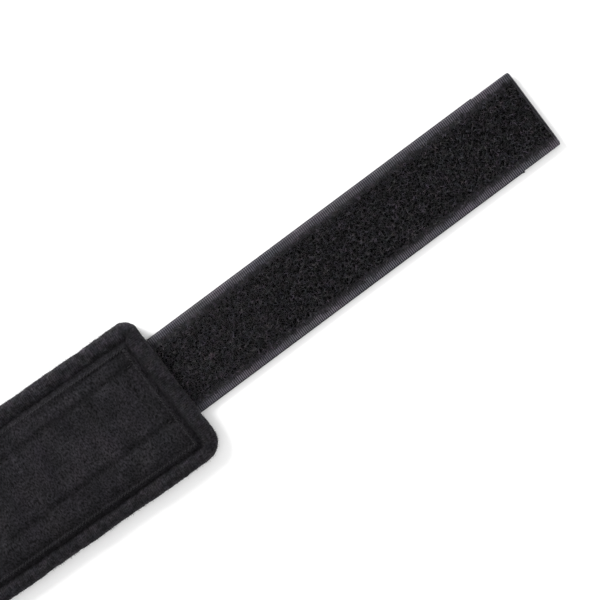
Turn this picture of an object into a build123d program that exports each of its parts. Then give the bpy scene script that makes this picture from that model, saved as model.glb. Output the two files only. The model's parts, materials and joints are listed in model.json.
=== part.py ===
from build123d import *
import math
import os

# Wrap-around wrist splint, laid open with its lined skin side up.
#
# A contoured palm panel carries a malleable aluminium stay in a pocket, a wide padded arm
# wraps the wrist, and two double-faced loop-tape straps close it through plastic rings.
# +X runs along the padded arm to the strap's tip, +Y towards the hand, +Z up.

os.makedirs("parts", exist_ok=True)

# ---------------------------------------------------------------- driving dimensions, mm
# Cloth thicknesses
tape = 1.2                 # ground weave of one tape
pile = 0.8                 # loop pile standing on a tape, and the binding's cloth
cover_cloth = 0.7
foam_core = 2.5
lining_cloth = 0.8
pocket_cloth = 0.5
label_thick = 0.4
thread = 0.3               # how deep a stitch lies in the cloth
seam_width = 0.7
stitch_length = 2.4
stitch_pitch = 3.2
seam_margin = 2            # from a piece's end to its row of stitches
box_inset = 1.8            # from a tab's edges to its box of stitches

# Padded body
palm_width = 98
palm_taper = 3             # the palm's far edge leans in at the forearm end
body_length = 190
arm_width = 70
arm_length = 111           # from the fold line to the arm's end
neck = 14                  # hollow corner between the palm and the arm
arm_drop = 75              # arm's middle above the forearm end
end_slant = 2.5            # the arm's end leans by this angle
arm_corner = 7             # towards the hand
forearm_corner = 10        # the arm's other corner
binding_width = 7.5
binding_wall = 1.0
binding_clear = 1.0        # from the binding's inner edge to what is sewn beside it
palm_corner = 16
hand_corner = 14           # on the thumb side, towards the hand
waist = 8                  # how far the wrist is cut in on the thumb side
waist_top = 36             # where the cut begins, above the arm's middle
waist_near = 21            # the straight middle of the cut, above and below the arm's middle
waist_far = 22
waist_bend = 20            # radius at each end of the cut's slope
waist_sweep = 60           # radius where the cut runs out to the forearm end
waist_flare = 4            # the forearm end's corner, from the cut's straight middle

# Thumb hole
thumb_width = 30
thumb_length = 36
thumb_corner = 14
thumb_inset = 16.5         # from the palm's edge to the hole
thumb_rise = 44.5          # hole's middle above the arm's middle
thumb_binding_width = 6.5

# Straps
strap_width = 38
strap_free = 190           # from the arm's end to the tip
strap_skew = 1.7           # angle between the strap and the arm
strap_offset = 3.0         # towards the hand, at the arm's end
strap_sewn = 100           # length sewn under the arm
strap_bend = 96            # where the free strap curls
selvage = 5
seam_half_gap = 14.5       # each seam that holds the strap, from its middle
hand_strap_width = 25
hand_strap_free = 135
hand_strap_sewn = 26
hand_selvage = 3.5
hand_rise = 85             # hand strap above the arm's middle
hook_length = 19
tip_corner = 1.0
tip_seal = 1.5             # heat-sealed edge with no pile
fold_clear = 3.0           # from a padded edge to the strap's fold line
gap = 0.3                  # left open at a fold line

# Rings and their tabs
ring_bar = 3.4
ring_slot = 10             # opening, across the strap's thickness
ring_side = 1.0            # room beside the strap on each side
ring_corner = 4
ring_edge = 1.2
ring_rest = 1.8            # height of the far bar's middle as it lies on the table
tab_loop = 2.2             # inner radius of the webbing round the near bar
tab_stand_off = 6.5        # near bar from the padded edge
tab_sewn = 11
tab_gather = 0.6           # where the two layers part, outside the padded edge

# Stay, its pocket and the label
stay_width = 24
stay_length = 150
stay_thick = 1.5
stay_round = 11            # corner radius
stay_edge = 0.4
stay_play = 1              # room around the stay in its pocket
stay_lift = 0.2            # above the pocket's cloth
pocket_width = 31
pocket_length = 158
pocket_hem = 6             # closed end, towards the hand
pocket_inset = 12          # from the palm's far edge
pocket_margin = 15         # mouth above the forearm end
pocket_corner = 4
pocket_seam = 14           # each side seam from the pocket's middle
label_width = 20
label_length = 24
label_inset = 42           # label's middle from the thumb side

# ---------------------------------------------------------------- derived levels and places
z_under = tape
z_ground = 2 * tape
z_cover = z_ground + pile
z_foam = z_cover + cover_cloth
z_lining = z_foam + foam_core
z_skin = z_lining + lining_cloth
z_top = z_skin + pile
z_stay = pocket_cloth + stay_lift
z_bar = tape + tab_loop

skew = math.radians(strap_skew)
strap_reach = strap_free * math.cos(skew) + strap_width / 2 * math.sin(skew)
total_length = hand_strap_free + palm_width + neck + arm_length + strap_reach
x_left = -total_length / 2 + hand_strap_free
x_waist = x_left + waist
x_edge = x_left + palm_width
x_fold = x_edge + neck
x_end = x_fold + arm_length
x_thumb = x_left + thumb_inset + thumb_width / 2
x_pocket = x_edge - pocket_inset - pocket_width / 2
y_low = -body_length / 2
y_high = body_length / 2
y_arm = y_low + arm_drop
y_strap = y_arm + strap_offset
y_hand = y_arm + hand_rise
y_thumb = y_arm + thumb_rise
y_mouth = y_low + pocket_margin
end_lean = arm_width / 2 * math.tan(math.radians(end_slant))
strap_field = strap_width - 2 * selvage
hand_field = hand_strap_width - 2 * hand_selvage
strap_seams = [-seam_half_gap, seam_half_gap]
seam_start = 2 * seam_margin - strap_sewn
seam_stop = -binding_width - binding_clear - 1.5 * binding_wall
ring_tilt = math.degrees(math.asin((z_bar - ring_rest) / (ring_slot + ring_bar)))

strap_plane = Plane(
    origin=(x_end, y_strap, 0),
    x_dir=(math.cos(skew), math.sin(skew), 0),
    z_dir=(0, 0, 1),
)
hand_plane = Plane(origin=(x_left, y_hand, 0), x_dir=(-1, 0, 0), z_dir=(0, 0, 1))
wrist_tab_plane = Plane(origin=(x_waist, y_arm, 0), x_dir=(-1, 0, 0), z_dir=(0, 0, 1))
hand_tab_plane = Plane(origin=(x_edge, y_hand, 0), x_dir=(1, 0, 0), z_dir=(0, 0, 1))
pocket_plane = Plane(origin=(x_pocket, y_mouth, 0), x_dir=(0, 1, 0), z_dir=(0, 0, 1))
fold_plane = Plane(origin=(x_fold, 0, 0), x_dir=(0, 1, 0), z_dir=(1, 0, 0))


# ---------------------------------------------------------------- shapes used more than once
def strip(plane, start, stop, width, bottom, top, mode=Mode.ADD):
    """Add a flat strip between two stations along the plane's X axis."""
    with BuildSketch(plane.offset(bottom)) as outline:
        with Locations(((start + stop) / 2, 0)):
            Rectangle(stop - start, width)
    extrude(outline.sketch, amount=top - bottom, mode=mode)


def layer(outline, bottom, top, mode=Mode.ADD):
    """Add one cloth layer of the given flat outline between two heights."""
    placed = Plane.XY.offset(bottom) * outline
    extrude(placed, amount=top - bottom, mode=mode)


def palm_side():
    """Keep only what lies on the palm's side of the arm's fold line."""
    split(bisect_by=fold_plane.offset(-gap / 2), keep=Keep.BOTTOM)


def arm_side():
    """Keep only what lies on the arm's side of the fold line."""
    split(bisect_by=fold_plane.offset(gap / 2), keep=Keep.TOP)


def seam(plane, start, stop, across, bottom):
    """Add a row of stitches along the plane's X axis at each offset in across."""
    count = int((stop - start) / stitch_pitch)
    with BuildSketch(plane.offset(bottom)) as stitches:
        for offset_across in across:
            with Locations(((start + stop) / 2, offset_across)):
                with GridLocations(stitch_pitch, 1, count, 1):
                    Rectangle(stitch_length, seam_width)
    extrude(stitches.sketch, amount=thread)


def seam_groove(plane, start, stop, across, bottom):
    """Cut the grooves that a seam lies in."""
    with BuildSketch(plane.offset(bottom)) as grooves:
        for offset_across in across:
            with Locations(((start + stop) / 2, offset_across)):
                Rectangle(stop - start, seam_width)
    extrude(grooves.sketch, amount=thread, mode=Mode.SUBTRACT)


def box_seam(plane, start, stop, width, mode=Mode.ADD):
    """Add, or cut, one closed rectangle of thread on the underside."""
    with BuildSketch(plane) as line:
        with Locations(((start + stop) / 2, 0)):
            Rectangle(stop - start - 2 * box_inset, width - 2 * box_inset)
            offset(amount=-seam_width, mode=Mode.SUBTRACT)
    extrude(line.sketch, amount=thread, mode=mode)


# ---------------------------------------------------------------- flat outlines
with BuildSketch() as body_outline:
    with BuildLine():
        FilletPolyline(
            (x_waist + waist_flare, y_low),
            (x_edge - palm_taper, y_low),
            (x_edge, y_arm - arm_width / 2),
            (x_end + end_lean, y_arm - arm_width / 2),
            (x_end - end_lean, y_arm + arm_width / 2),
            (x_edge, y_arm + arm_width / 2),
            (x_edge, y_high),
            (x_left, y_high),
            (x_left, y_arm + waist_top),
            (x_waist, y_arm + waist_near),
            (x_waist, y_arm - waist_far),
            radius=[
                palm_corner,
                palm_corner,
                neck,
                forearm_corner,
                arm_corner,
                neck,
                palm_corner,
                hand_corner,
                waist_bend,
                waist_bend,
                waist_sweep,
            ],
            close=True,
        )
    make_face()
with BuildSketch() as body_inner:
    add(body_outline.sketch)
    offset(amount=-binding_wall, mode=Mode.REPLACE)
with BuildSketch() as body_field:
    add(body_outline.sketch)
    offset(amount=-binding_width, mode=Mode.REPLACE)
with BuildSketch() as body_seam:
    add(body_outline.sketch)
    offset(amount=seam_width - binding_width, mode=Mode.REPLACE)
    offset(body_seam.sketch, amount=-seam_width, mode=Mode.SUBTRACT)

with BuildSketch() as thumb_hole:
    with Locations((x_thumb, y_thumb)):
        RectangleRounded(thumb_width, thumb_length, thumb_corner)
with BuildSketch() as thumb_wall:
    add(thumb_hole.sketch)
    offset(amount=binding_wall, mode=Mode.REPLACE)
with BuildSketch() as thumb_field:
    add(thumb_hole.sketch)
    offset(amount=thumb_binding_width, mode=Mode.REPLACE)
with BuildSketch() as thumb_seam:
    add(thumb_hole.sketch)
    offset(amount=thumb_binding_width - seam_width, mode=Mode.REPLACE)
    offset(thumb_seam.sketch, amount=-seam_width, mode=Mode.SUBTRACT)

# ---------------------------------------------------------------- padded palm panel
with BuildPart() as palm_cover:
    layer(body_inner.sketch, z_cover, z_foam)
    layer(thumb_wall.sketch, z_cover, z_foam, Mode.SUBTRACT)
    palm_side()
palm_cover.part.label = "palm_cover"
export_step(palm_cover.part, "parts/palm_cover.step")

with BuildPart() as palm_foam:
    layer(body_inner.sketch, z_foam, z_lining)
    layer(thumb_wall.sketch, z_foam, z_lining, Mode.SUBTRACT)
    palm_side()
palm_foam.part.label = "palm_foam"
export_step(palm_foam.part, "parts/palm_foam.step")

with BuildPart() as palm_lining:
    layer(body_inner.sketch, z_lining, z_skin)
    layer(thumb_wall.sketch, z_lining, z_skin, Mode.SUBTRACT)
    palm_side()
palm_lining.part.label = "palm_lining"
export_step(palm_lining.part, "parts/palm_lining.step")

with BuildPart() as palm_binding:
    layer(body_outline.sketch, z_ground, z_top)
    layer(body_field.sketch, z_ground, z_top, Mode.SUBTRACT)
    layer(body_inner.sketch, z_cover, z_skin, Mode.SUBTRACT)
    layer(body_seam.sketch, z_top - thread, z_top, Mode.SUBTRACT)
    palm_side()
palm_binding.part.label = "palm_binding"
export_step(palm_binding.part, "parts/palm_binding.step")

with BuildPart() as palm_binding_seam:
    layer(body_seam.sketch, z_top - thread, z_top)
    palm_side()
palm_binding_seam.part.label = "palm_binding_seam"
export_step(palm_binding_seam.part, "parts/palm_binding_seam.step")

with BuildPart() as thumb_binding:
    layer(thumb_field.sketch, z_ground, z_top)
    layer(body_inner.sketch, z_cover, z_skin, Mode.SUBTRACT)
    layer(thumb_wall.sketch, z_cover, z_skin)
    layer(thumb_hole.sketch, z_ground, z_top, Mode.SUBTRACT)
    layer(thumb_seam.sketch, z_top - thread, z_top, Mode.SUBTRACT)
thumb_binding.part.label = "thumb_binding"
export_step(thumb_binding.part, "parts/thumb_binding.step")

with BuildPart() as thumb_binding_seam:
    layer(thumb_seam.sketch, z_top - thread, z_top)
thumb_binding_seam.part.label = "thumb_binding_seam"
export_step(thumb_binding_seam.part, "parts/thumb_binding_seam.step")

with BuildPart() as care_label:
    with BuildSketch(Plane.XY.offset(z_skin)):
        with Locations((x_left + label_inset, y_low + binding_width + binding_clear + label_length / 2)):
            Rectangle(label_width, label_length)
    extrude(amount=label_thick)
care_label.part.label = "care_label"
export_step(care_label.part, "parts/care_label.step")

# ---------------------------------------------------------------- stay and its pocket
with BuildPart() as palmar_stay:
    with BuildSketch(Plane.XY.offset(z_stay)):
        with Locations((x_pocket, y_mouth + stay_play + stay_length / 2)):
            RectangleRounded(stay_width, stay_length, stay_round)
    extrude(amount=stay_thick)
    fillet(palmar_stay.faces().sort_by(Axis.Z)[-1].edges(), radius=stay_edge)
palmar_stay.part.label = "palmar_stay"
export_step(palmar_stay.part, "parts/palmar_stay.step")

with BuildPart() as stay_pocket:
    with BuildSketch():
        with Locations((x_pocket, y_mouth + pocket_length / 2)):
            RectangleRounded(pocket_width, pocket_length, pocket_corner)
    extrude(amount=z_cover)
    with BuildSketch(Plane.XY.offset(pocket_cloth)):
        with Locations((x_pocket, y_mouth + pocket_length / 2 - pocket_hem)):
            Rectangle(stay_width + stay_play, pocket_length)
    extrude(amount=z_cover - pocket_cloth, mode=Mode.SUBTRACT)
    seam_groove(pocket_plane, seam_margin, pocket_length - seam_margin, [-pocket_seam, pocket_seam], 0)
stay_pocket.part.label = "stay_pocket"
export_step(stay_pocket.part, "parts/stay_pocket.step")

with BuildPart() as stay_pocket_seam:
    seam(pocket_plane, seam_margin, pocket_length - seam_margin, [-pocket_seam, pocket_seam], 0)
stay_pocket_seam.part.label = "stay_pocket_seam"
export_step(stay_pocket_seam.part, "parts/stay_pocket_seam.step")

# ---------------------------------------------------------------- padded arm
with BuildPart() as arm_cover:
    layer(body_inner.sketch, z_cover, z_foam)
    arm_side()
arm_cover.part.label = "arm_cover"
export_step(arm_cover.part, "parts/arm_cover.step")

with BuildPart() as arm_foam:
    layer(body_inner.sketch, z_foam, z_lining)
    arm_side()
arm_foam.part.label = "arm_foam"
export_step(arm_foam.part, "parts/arm_foam.step")

with BuildPart() as arm_lining:
    layer(body_inner.sketch, z_lining, z_skin)
    seam_groove(strap_plane, seam_start, seam_stop, strap_seams, z_skin - thread)
    arm_side()
arm_lining.part.label = "arm_lining"
export_step(arm_lining.part, "parts/arm_lining.step")

with BuildPart() as arm_binding:
    layer(body_outline.sketch, z_ground, z_top)
    layer(body_field.sketch, z_ground, z_top, Mode.SUBTRACT)
    layer(body_inner.sketch, z_cover, z_skin, Mode.SUBTRACT)
    layer(body_seam.sketch, z_top - thread, z_top, Mode.SUBTRACT)
    arm_side()
arm_binding.part.label = "arm_binding"
export_step(arm_binding.part, "parts/arm_binding.step")

with BuildPart() as arm_binding_seam:
    layer(body_seam.sketch, z_top - thread, z_top)
    arm_side()
arm_binding_seam.part.label = "arm_binding_seam"
export_step(arm_binding_seam.part, "parts/arm_binding_seam.step")

# ---------------------------------------------------------------- wrist strap: two tapes back to back
with BuildPart() as strap_top_sewn:
    strip(strap_plane, -strap_sewn, fold_clear - gap / 2, strap_width, z_under, z_ground)
    strip(strap_plane, -strap_sewn, seam_stop, strap_field, z_ground, z_cover)
strap_top_sewn.part.label = "strap_top_sewn"
export_step(strap_top_sewn.part, "parts/strap_top_sewn.step")

with BuildPart() as strap_under_sewn:
    strip(strap_plane, -strap_sewn, fold_clear - gap / 2, strap_width, 0, z_under)
    seam_groove(strap_plane, seam_start, seam_stop, strap_seams, 0)
strap_under_sewn.part.label = "strap_under_sewn"
export_step(strap_under_sewn.part, "parts/strap_under_sewn.step")

with BuildPart() as strap_seam:
    seam(strap_plane, seam_start, seam_stop, strap_seams, 0)
    seam(strap_plane, seam_start, seam_stop, strap_seams, z_skin - thread)
strap_seam.part.label = "strap_seam"
export_step(strap_seam.part, "parts/strap_seam.step")

with BuildPart() as strap_top_near:
    strip(strap_plane, fold_clear + gap / 2, strap_bend - gap / 2, strap_width, z_under, z_ground)
    strip(strap_plane, fold_clear + gap / 2, strap_bend - gap / 2, strap_field, z_ground, z_cover)
strap_top_near.part.label = "strap_top_near"
export_step(strap_top_near.part, "parts/strap_top_near.step")

with BuildPart() as strap_under_near:
    strip(strap_plane, fold_clear + gap / 2, strap_bend - gap / 2, strap_width, 0, z_under)
strap_under_near.part.label = "strap_under_near"
export_step(strap_under_near.part, "parts/strap_under_near.step")

with BuildPart() as strap_top_tip:
    strip(strap_plane, strap_bend + gap / 2, strap_free, strap_width, z_under, z_ground)
    fillet(strap_top_tip.edges().filter_by(Axis.Z).sort_by(Axis.X)[-2:], radius=tip_corner)
    strip(strap_plane, strap_bend + gap / 2, strap_free - tip_seal, strap_field, z_ground, z_cover)
strap_top_tip.part.label = "strap_top_tip"
export_step(strap_top_tip.part, "parts/strap_top_tip.step")

with BuildPart() as strap_under_tip:
    strip(strap_plane, strap_bend + gap / 2, strap_free - hook_length, strap_width, 0, z_under)
strap_under_tip.part.label = "strap_under_tip"
export_step(strap_under_tip.part, "parts/strap_under_tip.step")

with BuildPart() as strap_hook_tab:
    strip(strap_plane, strap_free - hook_length, strap_free, strap_width, 0, z_under)
    fillet(strap_hook_tab.edges().filter_by(Axis.Z).sort_by(Axis.X)[-2:], radius=tip_corner)
    box_seam(strap_plane, strap_free - hook_length, strap_free, strap_width, Mode.SUBTRACT)
strap_hook_tab.part.label = "strap_hook_tab"
export_step(strap_hook_tab.part, "parts/strap_hook_tab.step")

with BuildPart() as strap_hook_seam:
    box_seam(strap_plane, strap_free - hook_length, strap_free, strap_width)
strap_hook_seam.part.label = "strap_hook_seam"
export_step(strap_hook_seam.part, "parts/strap_hook_seam.step")

# ---------------------------------------------------------------- hand strap
with BuildPart() as hand_strap_sewn_end:
    strip(hand_plane, -hand_strap_sewn, fold_clear - gap / 2, hand_strap_width, 0, z_ground)
    strip(hand_plane, -hand_strap_sewn, -binding_width - binding_clear, hand_strap_width, z_ground, z_cover)
    box_seam(hand_plane, -hand_strap_sewn, -binding_wall, hand_strap_width, Mode.SUBTRACT)
hand_strap_sewn_end.part.label = "hand_strap_sewn_end"
export_step(hand_strap_sewn_end.part, "parts/hand_strap_sewn_end.step")

with BuildPart() as hand_strap_seam:
    box_seam(hand_plane, -hand_strap_sewn, -binding_wall, hand_strap_width)
hand_strap_seam.part.label = "hand_strap_seam"
export_step(hand_strap_seam.part, "parts/hand_strap_seam.step")

with BuildPart() as hand_strap_top:
    strip(hand_plane, fold_clear + gap / 2, hand_strap_free, hand_strap_width, z_under, z_ground)
    fillet(hand_strap_top.edges().filter_by(Axis.Z).sort_by(Axis.X)[:2], radius=tip_corner)
    strip(hand_plane, fold_clear + gap / 2, hand_strap_free - tip_seal, hand_field, z_ground, z_cover)
hand_strap_top.part.label = "hand_strap_top"
export_step(hand_strap_top.part, "parts/hand_strap_top.step")

with BuildPart() as hand_strap_under:
    strip(hand_plane, fold_clear + gap / 2, hand_strap_free - hook_length, hand_strap_width, 0, z_under)
hand_strap_under.part.label = "hand_strap_under"
export_step(hand_strap_under.part, "parts/hand_strap_under.step")

with BuildPart() as hand_hook_tab:
    strip(hand_plane, hand_strap_free - hook_length, hand_strap_free, hand_strap_width, 0, z_under)
    fillet(hand_hook_tab.edges().filter_by(Axis.Z).sort_by(Axis.X)[:2], radius=tip_corner)
    box_seam(hand_plane, hand_strap_free - hook_length, hand_strap_free, hand_strap_width, Mode.SUBTRACT)
hand_hook_tab.part.label = "hand_hook_tab"
export_step(hand_hook_tab.part, "parts/hand_hook_tab.step")

with BuildPart() as hand_hook_seam:
    box_seam(hand_plane, hand_strap_free - hook_length, hand_strap_free, hand_strap_width)
hand_hook_seam.part.label = "hand_hook_seam"
export_step(hand_hook_seam.part, "parts/hand_hook_seam.step")


# ---------------------------------------------------------------- rings and the tabs that hold them
def ring(plane, width):
    """Rectangular ring whose near bar turns in its tab and whose far bar lies on the table."""
    tilted = Plane(plane.location * Location((tab_stand_off, 0, z_bar), (0, ring_tilt, 0)))
    opening = width + 2 * ring_side
    with BuildPart() as bars:
        with BuildSketch(tilted.offset(-ring_bar / 2)):
            with Locations((ring_slot / 2 + ring_bar / 2, 0)):
                RectangleRounded(ring_slot + 2 * ring_bar, opening + 2 * ring_bar, ring_corner)
                RectangleRounded(ring_slot, opening, ring_edge, mode=Mode.SUBTRACT)
        extrude(amount=ring_bar)
        fillet(bars.edges().filter_by(Axis((0, 0, 0), tilted.z_dir), reverse=True), radius=ring_edge)
    return bars.part


def tab(plane, width):
    """Webbing folded round the ring's near bar and caught under the padded edge."""
    side = Plane(origin=plane.origin, x_dir=plane.x_dir, z_dir=-plane.y_dir)
    with BuildPart() as webbing:
        with BuildSketch(side) as fold:
            with Locations((tab_stand_off, z_bar)):
                Circle(tab_loop + tape)
            with Locations((tab_gather, z_ground / 2)):
                Rectangle(tab_gather, z_ground)
            make_hull()
            with Locations((tab_stand_off, z_bar)):
                Circle(tab_loop, mode=Mode.SUBTRACT)
        extrude(amount=width / 2, both=True)
        strip(plane, -tab_sewn, tab_gather, width, 0, z_ground)
        strip(plane, -tab_sewn, -binding_width - binding_clear, width, z_ground, z_cover)
        box_seam(plane, -tab_sewn, 0, width, Mode.SUBTRACT)
    return webbing.part


with BuildPart() as wrist_ring:
    add(ring(wrist_tab_plane, strap_width))
wrist_ring.part.label = "wrist_ring"
export_step(wrist_ring.part, "parts/wrist_ring.step")

with BuildPart() as wrist_ring_tab:
    add(tab(wrist_tab_plane, strap_width))
wrist_ring_tab.part.label = "wrist_ring_tab"
export_step(wrist_ring_tab.part, "parts/wrist_ring_tab.step")

with BuildPart() as wrist_ring_seam:
    box_seam(wrist_tab_plane, -tab_sewn, 0, strap_width)
wrist_ring_seam.part.label = "wrist_ring_seam"
export_step(wrist_ring_seam.part, "parts/wrist_ring_seam.step")

with BuildPart() as hand_ring:
    add(ring(hand_tab_plane, hand_strap_width))
hand_ring.part.label = "hand_ring"
export_step(hand_ring.part, "parts/hand_ring.step")

with BuildPart() as hand_ring_tab:
    add(tab(hand_tab_plane, hand_strap_width))
hand_ring_tab.part.label = "hand_ring_tab"
export_step(hand_ring_tab.part, "parts/hand_ring_tab.step")

with BuildPart() as hand_ring_seam:
    box_seam(hand_tab_plane, -tab_sewn, 0, hand_strap_width)
hand_ring_seam.part.label = "hand_ring_seam"
export_step(hand_ring_seam.part, "parts/hand_ring_seam.step")
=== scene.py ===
"""Looks of the wrist splint: quilted padding, ribbed binding, napped loop tapes, hooks, seams and rings.

Lengths are in millimetres until a mesh is made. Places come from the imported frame's boxes and joints.
"""
import json
import math

import bpy
import numpy as np
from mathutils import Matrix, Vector
from mathutils.kdtree import KDTree


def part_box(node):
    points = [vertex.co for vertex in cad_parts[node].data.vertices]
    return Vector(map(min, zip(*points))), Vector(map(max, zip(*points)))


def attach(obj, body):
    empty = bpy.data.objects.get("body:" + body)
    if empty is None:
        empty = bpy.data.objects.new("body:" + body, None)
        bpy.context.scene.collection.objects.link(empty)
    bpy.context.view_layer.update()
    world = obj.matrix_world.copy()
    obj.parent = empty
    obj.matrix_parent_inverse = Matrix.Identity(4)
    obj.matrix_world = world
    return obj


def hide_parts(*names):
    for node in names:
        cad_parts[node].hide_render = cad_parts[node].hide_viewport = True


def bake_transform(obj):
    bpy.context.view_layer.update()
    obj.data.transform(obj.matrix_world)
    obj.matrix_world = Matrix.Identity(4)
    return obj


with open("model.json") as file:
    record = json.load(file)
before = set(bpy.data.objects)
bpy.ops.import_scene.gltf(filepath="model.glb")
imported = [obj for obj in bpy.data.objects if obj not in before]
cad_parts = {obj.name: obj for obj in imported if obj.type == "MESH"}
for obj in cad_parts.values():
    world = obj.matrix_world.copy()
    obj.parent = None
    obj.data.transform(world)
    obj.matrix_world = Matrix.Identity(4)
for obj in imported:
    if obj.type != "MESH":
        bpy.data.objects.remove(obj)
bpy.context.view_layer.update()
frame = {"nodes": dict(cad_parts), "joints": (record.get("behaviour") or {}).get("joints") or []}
MM = 0.001


# ---- places, read from the frame
def box_mm(node):
    low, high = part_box(node)
    return np.array(low) / MM, np.array(high) / MM


def joint(name):
    found = [j for j in frame["joints"] if j["name"] == name][0]
    return np.array(found["pos_m"]) / MM, np.array(found["axis"])


PALM_LOW, PALM_HIGH = box_mm("palm_binding")
ARM_LOW, ARM_HIGH = box_mm("arm_binding")
Z_GROUND = ARM_LOW[2]                       # underside of the padding
Z_TOP = ARM_HIGH[2]
Z_LINING = box_mm("arm_foam")[1][2]         # between the foam and the lining
Z_UNDER = box_mm("strap_under_near")[1][2]  # between the strap's two tapes
X_FOLD = joint("arm_fold")[0][0]
Y_ARM = (ARM_LOW[1] + ARM_HIGH[1]) / 2
WALL = 1.0                                  # binding outside the foam
FOLD_CLEAR = 3.0                            # padded edge to a strap's fold line
STRAP_HALF = 19.0
HAND_HALF = (box_mm("hand_strap_top")[1][1] - box_mm("hand_strap_top")[0][1]) / 2
SELVAGE = 5.0
HAND_SELVAGE = 3.5
STRAP_SEWN = 100.0
HAND_SEWN = 26.0
HOOK_LENGTH = 19.0
SEAM_HALF_GAP = 14.5
POCKET_SEAM = 14.0                          # the pocket's seams, each side of its middle
SEAM_PITCH = 3.2
OUTLINE_STEP = 0.21
HOLE_WIDE = 0.87                            # the thumb hole's binding beside the body's


class Line:
    """A strap's own directions: s runs along it from the padded edge, t across it, z up."""

    def __init__(self, origin, direction):
        self.origin = np.array([origin[0], origin[1], 0.0])
        self.along = np.array([direction[0], direction[1], 0.0])
        self.across = np.array([-direction[1], direction[0], 0.0])

    def at(self, s, t, z):
        s, t, z = np.broadcast_arrays(np.asarray(s, float), t, z)
        flat = self.origin + s[..., None] * self.along + t[..., None] * self.across
        return flat + z[..., None] * [0, 0, 1.0]

    def local(self, x, y):
        dx, dy = x - self.origin[0], y - self.origin[1]
        return dx * self.along[0] + dy * self.along[1], dx * self.across[0] + dy * self.across[1]


def strap_line(joint_name, direction):
    return Line(joint(joint_name)[0] - FOLD_CLEAR * np.array(direction), direction)


strap_axis = joint("strap_fold")[1]
STRAP = strap_line("strap_fold", (-strap_axis[1], strap_axis[0], 0.0))
HAND = strap_line("hand_strap_fold", (-1.0, 0.0, 0.0))
STRAP_BEND = STRAP.local(*joint("strap_curl")[0][:2])[0]
STRAP_TIP = STRAP.local(box_mm("strap_top_tip")[1][0], box_mm("strap_top_tip")[1][1] - STRAP_HALF)[0]
HAND_TIP = HAND.origin[0] - box_mm("hand_strap_top")[0][0]
WRIST_TAB = Line((box_mm("wrist_ring_tab")[1][0] - 11, Y_ARM), (-1.0, 0.0))
HAND_TAB = Line((box_mm("hand_ring_tab")[0][0] + 11, joint("hand_ring_swivel")[0][1]), (1.0, 0.0))
POCKET_LOW, POCKET_HIGH = box_mm("stay_pocket")
X_POCKET = (POCKET_LOW[0] + POCKET_HIGH[0]) / 2
STAY_HALF = (box_mm("palmar_stay")[1][0] - box_mm("palmar_stay")[0][0]) / 2


# ---- small maths
def smooth(x):
    x = np.clip(x, 0, 1)
    return x * x * (3 - 2 * x)


def noise(x, y, size, seed):
    """Smooth noise from -1 to 1 whose lumps are about size across."""
    lattice = np.random.default_rng(seed).uniform(-1, 1, (257, 257))
    u, v = x / size + 128.0, y / size + 128.0
    iu, iv = np.floor(u).astype(int), np.floor(v).astype(int)
    fu, fv = smooth(u - iu), smooth(v - iv)
    a, b = (lattice[iu % 257, j % 257] * (1 - fu) + lattice[(iu + 1) % 257, j % 257] * fu
            for j in (iv, iv + 1))
    return a * (1 - fv) + b * fv


def unit(v):
    return v / np.maximum(np.linalg.norm(v, axis=-1, keepdims=True), 1e-9)


def wave(x, pitch):
    return np.cos(2 * np.pi * x / pitch)


def dimple(offset, reach):
    return np.exp(-(offset / reach) ** 2)


def run(points):
    """Distance along a path to each of its points."""
    return np.concatenate([[0], np.cumsum(np.linalg.norm(np.diff(points, axis=0), axis=1))])


def evenly(loop, step):
    """Evenly spaced points round a closed outline."""
    closed = np.vstack([loop, loop[:1]])
    length = run(closed)
    count = int(round(length[-1] / step))
    s = np.arange(count) * length[-1] / count
    return np.stack([np.interp(s, length, closed[:, i]) for i in (0, 1)], 1)


# ---- making meshes
def link(name, data):
    thing = bpy.data.objects.new(name, data)
    bpy.context.scene.collection.objects.link(thing)
    return thing


def make(name, points, faces, material, tone=1.0):
    """A piece from a closed shape. tone is how light each point is painted beside the material's own: partly
    its dye and nap, partly painted shade and painted highlight.
    """
    mesh = bpy.data.meshes.new(name)
    mesh.from_pydata((np.asarray(points) * MM).tolist(), [], faces)
    tones = mesh.attributes.new("tone", "FLOAT", "POINT")
    tones.data.foreach_set("value", np.broadcast_to(np.asarray(tone, np.float32), (len(points),)).copy())
    mesh.polygons.foreach_set("use_smooth", [True] * len(mesh.polygons))
    mesh.materials.append(material)
    mesh.calc_loop_triangles()
    corners = np.empty(len(mesh.loop_triangles) * 3, np.int32)
    mesh.loop_triangles.foreach_get("vertices", corners)
    a, b, c = (np.asarray(points)[corners[i::3]] for i in range(3))
    if np.einsum("ij,ij->", a, np.cross(b, c)) < 0:
        mesh.flip_normals()
    mesh.update()
    return link(name, mesh)


def loft(rings, closed=False):
    """Skin rows of points (rows, around, 3), each row a closed ring, with end caps unless closed."""
    rows, around, _ = rings.shape
    last = rows if closed else rows - 1
    i, j = np.meshgrid(np.arange(last), np.arange(around), indexing="ij")
    k, m = (i + 1) % rows, (j + 1) % around
    quads = np.stack([i * around + j, i * around + m, k * around + m, k * around + j], -1).reshape(-1, 4)
    faces = quads.tolist()
    if not closed:
        faces.append(list(range(around))[::-1])
        faces.append(list(range((rows - 1) * around, rows * around)))
    return rings.reshape(-1, 3), faces


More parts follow.
